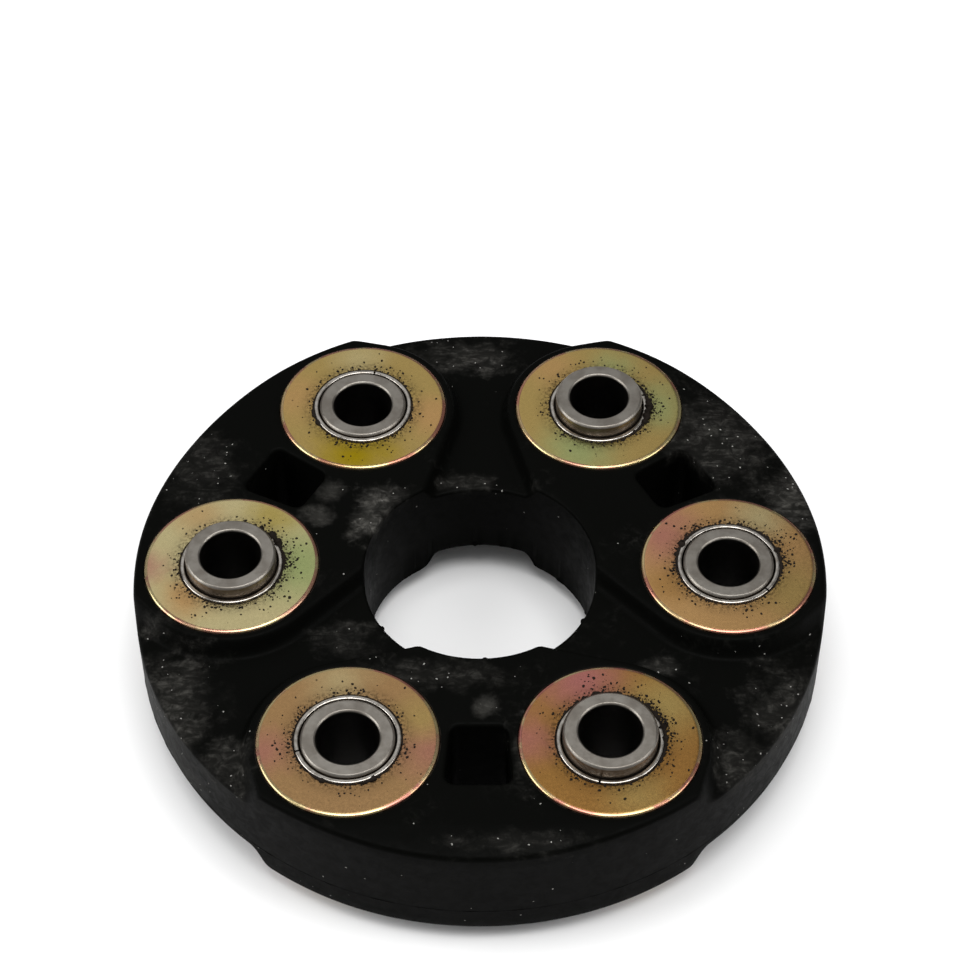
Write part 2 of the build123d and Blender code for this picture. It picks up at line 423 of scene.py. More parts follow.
# %% Rows, dimples and grid
FLANK_ROWS, FLANK_LENGTH = np.arange(-1.25, 3.3, 0.36), 34.0
SHOULDER_ROWS = (-0.25, 0.1, 0.35, 0.6, 1.0)
ROW_ROOM = 0.22
DIMPLES = ((1.3, -35.4, 2.0, 3.3, 0.45), (-31.2, 20.0, 2.7, 2.7, 0.35), (-33.4, 13.5, 3.4, 2.5, 0.35))
DIMPLE_RINGS, DIMPLE_ROOM = (0.2, 0.4, 0.6, 0.75, 0.88, 1.0, 1.15), 1.35


def row_beside_edge(offset, spacing):
    """Points at one distance outside the top edge of a land about +X, on its left half."""
    centre, radius = np.array([PAIR_X, PAIR_Y]), LAND_R + offset
    arc = np.arange(TOUCH_OUT, TOUCH_IN, spacing / radius)
    row = [centre + radius * np.array([cos(turn), sin(turn)]) for turn in arc]
    for touch, side in ((TOUCH_IN, 1), (TOUCH_OUT, -1)):
        start = centre + radius * np.array([cos(touch), sin(touch)])
        along = side * np.array([-sin(touch), cos(touch)])
        row += [start + along * step for step in np.arange(0.0, FLANK_LENGTH, spacing)]
    return np.array(row)


def row_on_shoulder(offset, spacing):
    """Points at one distance outside the flat top of a land about +X, on its left half."""
    radius = SHOULDER_R + offset
    straight = [(PAIR_X + radius, y) for y in np.arange(spacing / 2, PAIR_Y, spacing)]
    arc = np.arange(0.0, TOUCH_OUT, spacing / radius)
    return np.array(straight + [(PAIR_X + radius * cos(t), PAIR_Y + radius * sin(t)) for t in arc])


def on_all_lands(row):
    """The row on both halves of all three lands."""
    made = []
    for turn in LAND_TURNS:
        c, s = cos(radians(turn)), sin(radians(turn))
        for side in (1, -1):
            half = row * np.array([1.0, side])
            x, y = half.T
            made.append(np.column_stack([x * c - y * s, x * s + y * c]))
    return np.vstack(made)


def free_points(face):
    """Rows beside the edges, dimple rings and a grid for the rest, all clear of the outlines."""
    step = face["spacing"]
    rows = [row_beside_edge(offset, step * 0.48) for offset in FLANK_ROWS]
    rows += [row_on_shoulder(offset, step * 0.48) for offset in SHOULDER_ROWS]
    sets = [clear_of_outlines(on_all_lands(row), face, ROW_ROOM) for row in rows]
    across_disc, up_disc = (np.arange(-DISC_R, DISC_R, step * share) for share in (1.0, 0.866))
    columns, rows = np.meshgrid(across_disc, up_disc)
    columns[1::2] += step / 2
    grid = clear_of_outlines(np.column_stack([columns.ravel(), rows.ravel()]), face, 0.5 * step)
    along, across = land_frame(grid[:, 0], grid[:, 1])
    edge = beyond_edge(along, across)
    keep = (edge < FLANK_ROWS[0] - 0.3 * step) | (edge > FLANK_ROWS[-1] + 0.3 * step)
    outside = np.hypot(along - PAIR_X, np.maximum(across - PAIR_Y, 0.0)) - SHOULDER_R
    off_rows = (outside < SHOULDER_ROWS[0] - 0.3 * step) | (outside > SHOULDER_ROWS[-1] + 0.3 * step)
    keep &= (along < PAIR_X) | off_rows
    for cx, cy, rx, ry, depth in DIMPLES:
        keep &= np.hypot((grid[:, 0] - cx) / rx, (grid[:, 1] - cy) / ry) > DIMPLE_ROOM
        rings = [circle_points((0, 0), share, 30) * (rx, ry) + (cx, cy) for share in DIMPLE_RINGS]
        sets.append(clear_of_outlines(np.vstack(rings), face, ROW_ROOM))
    return np.vstack(sets + [grid[keep]])


for name, face in FACES.items():
    print(name, "face:", len(free_points(face)), "points besides the outlines")

# %% [markdown]
# ## The moulded rubber: the two faces
# A Delaunay mesh joins the points of a face, which lets fine rows and a coarse grid meet without a
# seam. The triangles in the hole, the windows and the pockets are dropped, and each outline's row of
# points is kept, for the walls to start from. A slow wave of a few hundredths of a millimetre stands
# for the shrinkage of rubber, and keeps the black faces from looking machined.

# %% Mesh the upper and the lower face
SURFACE_WAVE, WAVE_LENGTH = 0.05, 9.0


def wander(x, y, z, length, seed=0.0):
    """A smooth random value from about -1 to 1 at this place, in waves of this length."""
    return noise.noise(Vector((x / length + seed, y / length - seed, z / length + 0.37 * seed)))


class Skin:
    """Points and faces of one mesh, gathered piece by piece."""

    def __init__(self):
        self.points, self.faces = [], []

    def add_points(self, rows):
        """Numbers of the new points."""
        first = len(self.points)
        self.points.extend([tuple(float(v) for v in row) for row in rows])
        return np.arange(first, len(self.points))

    def join_rows(self, first, second):
        """A band of quads between two closed rows of equally many points."""
        for a, b, c, d in zip(first, np.roll(first, -1), np.roll(second, -1), second):
            self.faces.append((int(a), int(b), int(c), int(d)))

    def wall(self, top, rows, bottom):
        """A wall from one row of points, through new rows, to another."""
        above = top
        for row in rows:
            below = self.add_points(row)
            self.join_rows(above, below)
            above = below
        self.join_rows(above, bottom)


def outlines_of(face):
    """Every rounded edge of a face: its name and a function for the points of a ring."""
    rim = lambda inward: circle_points((0, 0), face["rim_r"] - inward, RIM_POINTS)
    hole = lambda inward: circle_points((0, 0), HOLE_R + inward, HOLE_POINTS)
    made = [("rim", rim, face["rim_round"]), ("hole", hole, HOLE_ROUND)]
    for number, spot in enumerate(bushing_spots):
        ring = lambda inward, spot=spot: circle_points(spot, POCKET_R + inward, POCKET_POINTS)
        made.append((f"pocket {number}", ring, POCKET_ROUND))
    for number, turn in enumerate(LAND_TURNS):
        ring = lambda inward, turn=turn: window_points(turn, inward)
        made.append((f"window {number}", ring, WINDOW_ROUND))
    return made


def outside_skin(centres, face):
    """Which triangles lie in the hole, a window or a pocket."""
    out = np.hypot(centres[:, 0], centres[:, 1]) < HOLE_R * cos(pi / HOLE_POINTS)
    for cx, cy in bushing_spots:
        near = POCKET_R * cos(pi / POCKET_POINTS)
        out |= np.hypot(centres[:, 0] - cx, centres[:, 1] - cy) < near
    for turn in LAND_TURNS:
        out |= inside_outline(centres, window_points(turn, 0.0))
    return out


def dimple_depth(x, y):
    """How deep the small ejector dimples are here."""
    depth = np.zeros_like(x)
    for cx, cy, rx, ry, deep in DIMPLES:
        share = np.clip(np.hypot((x - cx) / rx, (y - cy) / ry), 0.0, 1.0)
        depth += deep * (1.0 - share ** 3) ** 1.5
    return depth


def add_face(skin, face, sign):
    """Mesh one face of the rubber and return the row of points on each outline."""
    plan, drops, borders, edges = [], [], {}, []
    count = 0
    for name, ring_at, radius in outlines_of(face):
        rings = 3 if name.startswith("pocket") else 6
        for number, (inward, drop) in enumerate(quarter_round(radius, rings)):
            ring = ring_at(inward)
            numbers = np.arange(count, count + len(ring))
            plan.append(ring)
            drops.append(np.full(len(ring), drop))
            edges += list(zip(numbers.tolist(), np.roll(numbers, -1).tolist()))
            if number == 0:
                borders[name] = numbers
            count += len(ring)
    free = free_points(face)
    plan = np.vstack(plan + [free])
    drops = np.concatenate(drops + [np.zeros(len(free))])
    placed, _, triangles, origins, _, _ = delaunay_2d_cdt([Vector(p) for p in plan], edges, [], 0, 1e-6)
    placed = np.array([tuple(p) for p in placed])
    source = np.array([origin[0] if origin else 0 for origin in origins])
    triangles = np.array(triangles)
    keep = ~outside_skin(placed[triangles].mean(axis=1), face)
    x, y = placed[:, 0], placed[:, 1]
    waves = np.array([wander(a, b, 40.0 * sign, WAVE_LENGTH) for a, b in placed])
    height = face_height(x, y, face) - drops[source] + SURFACE_WAVE * waves
    if sign > 0:
        height = height - dimple_depth(x, y)
    numbers = skin.add_points(np.column_stack([x, y, sign * height]))
    skin.faces += [tuple(int(numbers[v]) for v in triangle) for triangle in triangles[keep]]
    first_use = {int(origin): int(numbers[place]) for place, origin in reversed(list(enumerate(source)))}
    return {name: np.array([first_use[int(n)] for n in row]) for name, row in borders.items()}


skin = Skin()
upper = add_face(skin, FACES["upper"], 1)
lower = add_face(skin, FACES["lower"], -1)
print("faces:", len(skin.points), "points")

# %% [markdown]
# ## The moulded rubber: the walls
# Between the faces stand the walls: the rim, the hole, the windows and the pockets for the washers and
# liners. Each wall is a stack of rows that starts and ends on the very points of the two faces, so the
# skin is closed without any merging. The rim wall carries the mould line, and the hole wall its ragged
# lower flash and three small gate marks.

# %% Join the faces
MOULD_LINE_Z = -5.8
MOULD_LINE_ROWS = ((0.0, 0.12), (1.0, 0.04), (0.7, -0.06))
POCKET_FLOOR_Z = WASHER_TOP - WASHER_THICK
GATE_TURNS = (213.2, 272.7, 332.5)
GATE_WIDTH, GATE_REACH = 0.55, 0.5
FLASH_TURN, FLASH_REACH, FLASH_WIDTH = 93.0, 0.55, 0.35


def between(skin, top, bottom, share):
    """Points part of the way from one row to another."""
    upper = np.array([skin.points[n] for n in top])
    lower = np.array([skin.points[n] for n in bottom])
    return upper + (lower - upper) * share


def at_radius(row, radii, height=None):
    """The row moved out or in to new distances from the shaft axis, and to a height if one is given."""
    moved = row.copy()
    scale = radii / np.hypot(row[:, 0], row[:, 1])
    moved[:, :2] *= scale[:, None]
    if height is not None:
        moved[:, 2] = height
    return moved


def rim_wall(skin, top, bottom):
    """The outer wall, with the flash where the halves of the mould met."""
    ring = np.array([skin.points[n] for n in top])
    flash = np.array([0.02 + 0.14 * max(0.0, wander(x, y, 0.0, 3.0)) for x, y, _ in ring])
    full, less = np.full(len(ring), DISC_R), np.full(len(ring), FACES["lower"]["rim_r"])
    line = at_radius(ring, full, MOULD_LINE_Z + 0.35)
    rows = [ring + (line - ring) * share for share in (0.15, 0.4, 0.7, 1.0)]
    rows += [at_radius(ring, full + flash * share, MOULD_LINE_Z + rise) for share, rise in MOULD_LINE_ROWS]
    lower_line = at_radius(ring, less, MOULD_LINE_Z - 0.14)
    end = np.array([skin.points[n] for n in bottom])
    rows += [lower_line + (end - lower_line) * share for share in (0.0, 0.05, 0.35, 0.7)]
    skin.wall(top, rows, bottom)


def hole_wall(skin, top, bottom):
    """The wall of the central hole, with three gate marks above and torn flash below."""
    above = np.array([skin.points[n] for n in top])
    below = np.array([skin.points[n] for n in bottom])
    turns = np.degrees(np.arctan2(above[:, 1], above[:, 0])) % 360
    gates = [np.exp(-(np.radians(turns - turn) * HOLE_R / GATE_WIDTH) ** 4) for turn in GATE_TURNS]
    gate = sum(gates) * GATE_REACH
    tears = [0.25 + wander(x, y, 5.0, 1.9) + 0.5 * wander(x, y, 9.0, 0.7) for x, y, _ in above]
    torn = 0.10 + 0.34 * np.maximum(0.0, tears)
    torn += FLASH_REACH * np.exp(-(np.radians(turns - FLASH_TURN) * HOLE_R / FLASH_WIDTH) ** 2)
    flat = np.full(len(above), HOLE_R)
    rows = [at_radius(above, flat - gate, above[:, 2] - drop) for drop in (0.05, 0.45)]
    rows.append(at_radius(above, flat, above[:, 2] - 0.9))
    low_start = at_radius(above, flat, below[:, 2] + 0.7)
    rows += [rows[-1] + (low_start - rows[-1]) * share for share in (0.33, 0.66, 1.0)]
    rows.append(at_radius(above, flat - torn, below[:, 2] + 0.16))
    rows.append(at_radius(above, flat - torn * 0.8, below[:, 2] + 0.02))
    skin.wall(top, rows, bottom)


def pocket_wall(skin, spot, top, bottom):
    """The pocket of a washer above and below, and the round hole for the liner between them."""
    floor = circle_points(spot, POCKET_R, POCKET_POINTS)
    lip = circle_points(spot, LINER_R, POCKET_POINTS)
    rows = [np.column_stack([plan, np.full(POCKET_POINTS, height)]) for plan, height in (
        (floor, POCKET_FLOOR_Z), (lip, POCKET_FLOOR_Z), (lip, -POCKET_FLOOR_Z), (floor, -POCKET_FLOOR_Z))]
    skin.wall(top, rows, bottom)


rim_wall(skin, upper["rim"], lower["rim"])
hole_wall(skin, upper["hole"], lower["hole"])
for number, spot in enumerate(bushing_spots):
    pocket_wall(skin, spot, upper[f"pocket {number}"], lower[f"pocket {number}"])
for number in range(len(LAND_TURNS)):
    top, bottom = upper[f"window {number}"], lower[f"window {number}"]
    skin.wall(top, [between(skin, top, bottom, share) for share in (0.15, 0.4, 0.6, 0.85)], bottom)
print("faces and walls:", len(skin.points), "points")

# %% [markdown]
# ## The moulded rubber: a mesh from the skin
# The points become a Blender mesh with its faces turned outward. Only edges sharper than a given angle
# stay sharp, so the rounded ones shade softly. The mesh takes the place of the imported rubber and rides
# on the same body. A closed skin has no open edge, and the last line counts them.

# %% Put the rubber in its place
def finish_mesh(name, points, faces, finish, smooth_angle=35.0):
    """A mesh object from points in millimetres, with faces turned outward and smooth shading."""
    mesh = bpy.data.meshes.new(name)
    mesh.from_pydata([(x * MM, y * MM, z * MM) for x, y, z in points], [], faces)
    shell = bmesh.new()
    shell.from_mesh(mesh)
    bmesh.ops.delete(shell, geom=[v for v in shell.verts if not v.link_faces], context="VERTS")
    bmesh.ops.recalc_face_normals(shell, faces=shell.faces)
    shell.to_mesh(mesh)
    shell.free()
    mesh.materials.append(finish)
    mesh.shade_smooth()
    mesh.set_sharp_from_angle(angle=radians(smooth_angle))
    made = bpy.data.objects.new(name, mesh)
    bpy.context.scene.collection.objects.link(made)
    return made


rubber_finish, rubber_tree, rubber_shader, rubber_place = start_finish("rubber_black", roughness=0.5)
rubber = finish_mesh("rubber_moulding", skin.points, skin.faces, rubber_finish)
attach(rubber, "root")
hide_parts("rubber_body")
loose = bmesh.new()
loose.from_mesh(rubber.data)
print("triangles:", sum(len(face.verts) - 2 for face in loose.faces))
print("open edges:", sum(not edge.is_manifold for edge in loose.edges))
loose.free()

# %% [markdown]
# ## Rubber finish
# Natural rubber from a mould is almost black, with a weak sheen that scuffs turn grey. Talc and bench
# dust lie where the part was handled: on the land beside the hole, along the left valley, on the rim
# and in the shallow dimples. The same grey also paints a sheen along the rounded front edge of the near
# land. Each patch is a soft ellipsoid whose edge is broken up by noise, and the
# loose specks come from one cell pattern that a slow noise thins out.

# %% Dress the rubber
RUBBER_BLACK = (0.0014, 0.0015, 0.0012, 1.0)
RUBBER_DUST_AND_SHEEN, SPECK_WHITE = (0.17, 0.163, 0.147, 1.0), (0.45, 0.44, 0.41, 1.0)
# Patches of dust and scuffs, and one of painted sheen: the band along the near land's front edge.
DUST_AND_SHEEN_PATCHES = (
    ("left land at the hole", (-22.6, 12.6, 12.8), (4.2, 8.5, 3.0), 0.85),
    ("left land corner", (-19.5, 19.5, 12.8), (5.0, 3.0, 3.0), 0.45),
    ("left land, outer part", (-58.0, 26.0, 12.5), (8.0, 12.0, 4.0), 0.22),
    ("left valley by the rim", (-59.0, -31.0, 8.5), (9.0, 13.0, 5.0), 0.45),
    ("left valley, near end", (-47.0, -46.0, 8.5), (9.0, 7.0, 5.0), 0.35),
    ("left valley at the land", (-60.0, -13.0, 9.0), (8.0, 3.5, 5.0), 0.5),
    ("left valley at the hole", (-27.0, -16.0, 9.2), (7.0, 5.0, 3.0), 0.22),
    ("left wall", (-62.0, -36.0, -2.0), (12.0, 20.0, 13.0), 0.2),
    ("far valley", (-3.0, 62.0, 8.5), (12.0, 6.0, 4.0), 0.4),
    ("far hole edge", (-4.0, 25.2, 9.2), (8.0, 2.6, 3.0), 0.26),
    ("right land, outer part", (50.0, 34.0, 12.5), (12.0, 14.0, 4.0), 0.3),
    ("right rim", (64.0, 18.0, 12.0), (6.0, 12.0, 5.0), 0.5),
    ("right valley by the rim", (60.0, -34.0, 8.0), (9.0, 12.0, 6.0), 0.32),
    ("right valley, near end", (49.0, -45.0, 8.5), (7.0, 7.0, 5.0), 0.35),
    ("right valley at the washer", (35.5, -23.1, 9.0), (5.0, 2.4, 4.0), 0.4),
    # Painted sheen: a pale band along the rounded front edge of the near land.
    ("near land front edge, painted sheen", (8.0, -66.0, 12.0), (12.0, 2.6, 3.0), 0.22),
    ("near land beside the hole", (-8.0, -27.5, 12.8), (14.0, 4.0, 2.0), 0.24),
    ("window, near side", (9.2, -46.0, 12.4), (2.8, 8.0, 4.0), 0.55),
    ("near dimple", (1.3, -35.4, 12.6), (2.4, 3.8, 2.0), 0.45),
    ("left dimple, inner", (-31.2, 19.6, 12.6), (3.0, 3.0, 2.0), 0.25),
    ("left dimple, outer", (-33.6, 13.2, 12.6), (3.6, 2.6, 2.0), 0.4),
)
SMUDGE = ((-50.7, -29.4, 9.0), (5.6, 5.6, 4.0))


def patch_share(tree, place, middle, halves, ragged):
    """One inside an ellipsoid, none outside it, with an edge that noise pushes in and out."""
    reach = away_from(tree, place, middle, [1 / half for half in halves])
    pushed = maths(tree, "MULTIPLY_ADD", ragged, -2.4, maths(tree, "ADD", reach, 1.2))
    return fade(tree, pushed, 0.25, 1.25, 1.0, 0.0)


def specks(tree, place, per_mm, radius, share):
    """Small ragged specks in some of the cells of a pattern."""
    shift = add(tree, "ShaderNodeTexNoise", [("Vector", place), ("Scale", 2.2 / MM), ("Detail", 2.0)])
    nudged = vectors(tree, "MULTIPLY_ADD", shift.outputs["Color"], [0.5 * MM] * 3, place)[0]
    cells = add(tree, "ShaderNodeTexVoronoi", [("Vector", nudged), ("Scale", per_mm / MM)], feature="F1")
    dot = fade(tree, cells.outputs["Distance"], radius * 0.6, radius, 1.0, 0.0)
    pick = add(tree, "ShaderNodeSeparateColor", [("Color", cells.outputs["Color"])]).outputs[0]
    return times(tree, dot, maths(tree, "LESS_THAN", pick, share))


def dress_rubber(tree, shader, place):
    """Black rubber with scuffs, dust, specks and a painted sheen on the near land's front edge."""
    cloud = noise_of(tree, place, 0.07, detail=5.0, rough=0.62)
    fine = noise_of(tree, place, 0.45, detail=7.0, rough=0.66, warp=0.8)
    drawn = [("Vector", place), ("Rotation", (0.0, 0.0, 0.9)), ("Scale", (0.32, 1.0, 1.0))]
    along = add(tree, "ShaderNodeMapping", drawn).outputs[0]
    streak = noise_of(tree, along, 0.55, detail=5.0, rough=0.62, warp=1.2)
    broken = times(tree, fade(tree, fine, 0.36, 0.80), fade(tree, streak, 0.34, 0.72))
    dust_and_sheen = times(tree, fade(tree, cloud, 0.50, 0.80), times(tree, fade(tree, fine, 0.45, 0.80), 0.08))
    ragged = noise_of(tree, place, 0.22, detail=5.0, rough=0.65)
    near_any = None
    for label, middle, halves, strength in DUST_AND_SHEEN_PATCHES:
        inside = patch_share(tree, place, middle, halves, ragged)
        soft = 0.25 if "dimple" in label else 0.09
        shade = times(tree, maths(tree, "MULTIPLY_ADD", broken, 1.0 - soft, soft), strength)
        dust_and_sheen = maths(tree, "MAXIMUM", dust_and_sheen, times(tree, inside, shade))
        near_any = inside if near_any is None else maths(tree, "MAXIMUM", near_any, inside)
    smudge = patch_share(tree, place, *SMUDGE, ragged)
    dust_and_sheen = times(tree, dust_and_sheen, maths(tree, "MULTIPLY_ADD", smudge, -0.85, 1.0))
    colour = mixed(tree, dust_and_sheen, RUBBER_BLACK, RUBBER_DUST_AND_SHEEN)
    thin_out = maths(tree, "MULTIPLY_ADD", near_any, 0.30, times(tree, fade(tree, cloud, 0.45, 0.7), 0.10))
    small = specks(tree, place, 0.85, 0.17, thin_out)
    large = specks(tree, place, 0.30, 0.085, times(tree, thin_out, 0.5))
    spotted = maths(tree, "MAXIMUM", times(tree, small, 0.5), large)
    colour = mixed(tree, spotted, colour, SPECK_WHITE)
    tree.links.new(colour, shader.inputs["Base Color"])
    rough = maths(tree, "MULTIPLY_ADD", dust_and_sheen, 0.35, fade(tree, fine, 0.3, 0.7, 0.40, 0.56))
    tree.links.new(rough, shader.inputs["Roughness"])
    shader.inputs["Specular IOR Level"].default_value = 0.02
    pits = noise_of(tree, place, 2.6, detail=3.0, rough=0.6)
    under = bumped(tree, shader, cloud, 0.25, strength=0.35)
    under = bumped(tree, shader, pits, 0.02, strength=0.5, under=under)
    bumped(tree, shader, spotted, 0.08, strength=0.6, under=under)


dress_rubber(rubber_tree, rubber_shader, rubber_place)
print("patches of dust:", len(DUST_AND_SHEEN_PATCHES), "nodes:", len(rubber_tree.nodes))

# %% [markdown]
# ## Washers, liners and sleeves
# These are turned or blanked round pieces, so each is one section carried round its own axis. The
# washer's outer edge was rolled over by the punch and catches a bright line. The liner is bent from
# strip, so its section stops at a butt seam. The sleeve keeps the chamfers of the lathe.

# %% Turn the steel pieces
WASHER_COUNT, LINER_COUNT, SLEEVE_COUNT = 180, 150, 144
SLEEVE_BORE_R, SLEEVE_R = 6.05, 9.1
LINER_INNER_R = LINER_R - 0.9
LINER_TOP = liner_size[2] / 2
SEAM_AFTER, SEAM_GAP = -43.0, 2.4


def round_corner(middle, radius, start, end, steps=4):
    """Points of a corner of a section, from one bearing to another, in degrees."""
    turns = [radians(start + (end - start) * step / steps) for step in range(steps + 1)]
    return [(middle[0] + radius * cos(t), middle[1] + radius * sin(t)) for t in turns]


def turned(skin, spot, section, count, seam=None, gap=0.0):
    """Carry a closed section round the axis at a spot, all the way or round to the other side of a seam."""
    spread = 360.0 - gap
    steps = count if seam is None else count - 1
    turns = [radians((seam or 0.0) + gap / 2 + spread * step / steps) for step in range(count)]
    rings = [[(spot[0] + r * cos(t), spot[1] + r * sin(t), z) for t in turns] for r, z in section]
    rows = [skin.add_points(ring) for ring in rings]
    for row, after in zip(rows, rows[1:] + rows[:1]):
        for step in range(steps):
            other = (step + 1) % count
            skin.faces.append((int(row[step]), int(row[other]), int(after[other]), int(after[step])))
    if seam is not None:
        skin.faces.append(tuple(int(row[0]) for row in rows))
        skin.faces.append(tuple(int(row[-1]) for row in reversed(rows)))


def washer_section(sign):
    """Section of a washer whose show face looks up (1) or down (-1)."""
    top, low, inner = WASHER_TOP, WASHER_TOP - WASHER_THICK, LINER_R + 0.06
    outline = [(inner, low), (inner, top - 0.12), (inner + 0.12, top)]
    outline += [(WASHER_R - 1.1, top), (WASHER_R - 0.75, top - 0.015)]
    outline += round_corner((WASHER_R - 0.55, top - 0.62), 0.55, 76, 0, steps=7)
    outline += [(WASHER_R, low + 0.15), (WASHER_R - 0.15, low)]
    return [(r, sign * z) for r, z in outline]


def liner_section():
    """Section of a liner, its ends rounded over."""
    top, r = LINER_TOP, 0.26
    upper = [(LINER_R, top - 2 * r)] + round_corner((LINER_R - r, top - r), r, 0, 90)
    upper += round_corner((LINER_INNER_R + r, top - r), r, 90, 180) + [(LINER_INNER_R, top - 2 * r)]
    return upper + [(x, -z) for x, z in reversed(upper)]


def sleeve_section(low, high):
    """Section of a sleeve, its four end corners chamfered and slightly worn."""
    cut, worn, r_in, r_out = 0.42, 0.06, SLEEVE_BORE_R, SLEEVE_R
    corner = [(0.0, cut + 3 * worn), (0.0, cut + worn), (0.02, cut)]
    corner += [(drop, inset) for inset, drop in reversed(corner)]
    top = [(r_out - inset, high - drop) for inset, drop in corner]
    top += [(r_in + inset, high - drop) for inset, drop in reversed(corner)]
    return top + [(r, low + high - z) for r, z in reversed(top)]


def steel_piece(name, spot, section, count, finish, node, seam=None, gap=0.0):
    """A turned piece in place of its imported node."""
    skin = Skin()
    turned(skin, spot, section, count, seam, gap)
    made = finish_mesh(name, skin.points, skin.faces, finish, smooth_angle=28.0)
    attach(made, "root")
    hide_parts(node)
    return made


# %% [markdown]
# ## Plated washers
# The washers are zinc plated and passivated, and the film shows every colour from straw to magenta as
# its thickness drifts. A thin film node could work out such colours from the angle of the light, but
# real plating is blotchy, so each washer has its own main tone and a few tints at a bearing, blurred by
# noise. Grime gathers round the liner, and a thin dark line of painted shade runs just inside the rolled
# edge.

# %% Finish of the washers
STRAW, OLIVE, PALE_GREEN = (0.54, 0.39, 0.15), (0.46, 0.33, 0.03), (0.44, 0.50, 0.22)
PEACH, COPPER, ROSE, TAN = (0.66, 0.40, 0.18), (0.44, 0.235, 0.08), (0.55, 0.22, 0.20), (0.49, 0.30, 0.145)
PALE_GOLD = (0.72, 0.62, 0.34)
WASHER_TONES = (
    (PEACH, (
        (150.0, 15.0, 13.0, ROSE, 0.75), (60.0, 14.0, 9.0, PALE_GOLD, 0.8),
        (330.0, 14.0, 12.0, STRAW, 0.8), (200.0, 13.0, 8.0, COPPER, 0.6))),
    (STRAW, (
        (250.0, 13.0, 13.0, PALE_GREEN, 0.9), (0.0, 13.0, 11.0, PALE_GREEN, 0.8),
        (130.0, 15.0, 9.0, PEACH, 0.7), (75.0, 12.0, 8.0, PALE_GREEN, 0.7))),
    (STRAW, (
        (265.0, 14.0, 13.0, OLIVE, 1.0), (170.0, 15.0, 10.0, PEACH, 0.7),
        (350.0, 15.0, 9.0, PEACH, 0.9), (95.0, 14.0, 9.0, PALE_GOLD, 0.6))),
    (PALE_GOLD, (
        (0.0, 14.0, 15.0, PALE_GREEN, 1.0), (60.0, 15.0, 9.0, OLIVE, 0.6),
        (180.0, 17.5, 7.0, ROSE, 0.8), (225.0, 12.0, 9.0, PEACH, 0.9),
        (120.0, 15.0, 8.0, PEACH, 0.6))),
    (TAN, (
        (190.0, 16.5, 9.0, ROSE, 0.6), (350.0, 16.0, 10.0, ROSE, 0.55),
        (100.0, 14.0, 10.0, PALE_GOLD, 0.55), (20.0, 15.0, 8.0, STRAW, 0.8))),
    (COPPER, (
        (110.0, 15.5, 13.0, ROSE, 0.95), (180.0, 16.0, 10.0, ROSE, 0.7),
        (35.0, 13.5, 12.0, STRAW, 1.0), (290.0, 14.0, 9.0, STRAW, 0.7))),
)
# Grime colour, also used for the painted shade inside the rolled edge.
GRIME_AND_SHADE = (0.035, 0.022, 0.012, 1.0)


def axis_distance(tree, place, spot):
    """Distance in millimetres from an upright axis through this point."""
    return away_from(tree, place, (spot[0], spot[1], 0.0), (1.0, 1.0, 0.0))


def washer_finish(name, spot, tone, tints):
    """Passivated zinc with drifting tints, fine specks, grime near the liner and painted shade inside the
    rolled edge.
    """
    made, tree, shader, place = start_finish(name, roughness=0.3, metallic=1.0)
    drift = noise_of(tree, place, 0.11, detail=4.0, rough=0.6, warp=0.6)
    fine = noise_of(tree, place, 1.6, detail=5.0, rough=0.7)
    colour = (*tone, 1.0)
    for bearing, radius, reach, tint, strength in tints:
        distance = axis_distance(tree, place, point_at(spot, radius, bearing))
        pushed = maths(tree, "MULTIPLY_ADD", drift, 7.0, maths(tree, "SUBTRACT", distance, 3.5))
        share = times(tree, fade(tree, pushed, 0.0, reach, 1.0, 0.0), strength)
        colour = mixed(tree, share, colour, (*tint, 1.0))
    radius = axis_distance(tree, place, spot)
    cloudy = fade(tree, fine, 0.3, 0.7, 0.82, 0.92)
    rolled = fade(tree, radius, WASHER_R - 0.80, WASHER_R - 0.66)
    edge_tint = mixed(tree, fade(tree, drift, 0.42, 0.60), (*ROSE, 1.0), (*PALE_GOLD, 1.0))
    colour = mixed(tree, times(tree, rolled, 0.75), colour, edge_tint)
    toned = [("Color", colour), ("Value", cloudy), ("Saturation", 1.05)]
    shade = add(tree, "ShaderNodeHueSaturation", toned).outputs[0]
    # Painted shade: a thin dark band just inside the rolled edge, where the edge starts to turn down.
    crease_shade = times(tree, rolled, fade(tree, radius, WASHER_R - 0.62, WASHER_R - 0.50, 1.0, 0.0))
    shade = mixed(tree, times(tree, crease_shade, 0.45), shade, GRIME_AND_SHADE)
    worn = times(tree, fade(tree, radius, LINER_R, LINER_R + 4.0, 0.75, 0.0), fade(tree, fine, 0.40, 0.62))
    shade = mixed(tree, worn, shade, GRIME_AND_SHADE)
    spotted = specks(tree, place, 0.35, 0.09, 0.22)
    shade = mixed(tree, times(tree, spotted, 0.7), shade, GRIME_AND_SHADE)
    tree.links.new(shade, shader.inputs["Base Color"])
    tree.links.new(fade(tree, fine, 0.3, 0.7, 0.24, 0.30), shader.inputs["Roughness"])
    under = bumped(tree, shader, drift, 0.12, strength=0.25)
    bumped(tree, shader, fine, 0.006, strength=0.25, under=under)
    return made


print("tints on the washers:", [len(tints) for _, tints in WASHER_TONES])
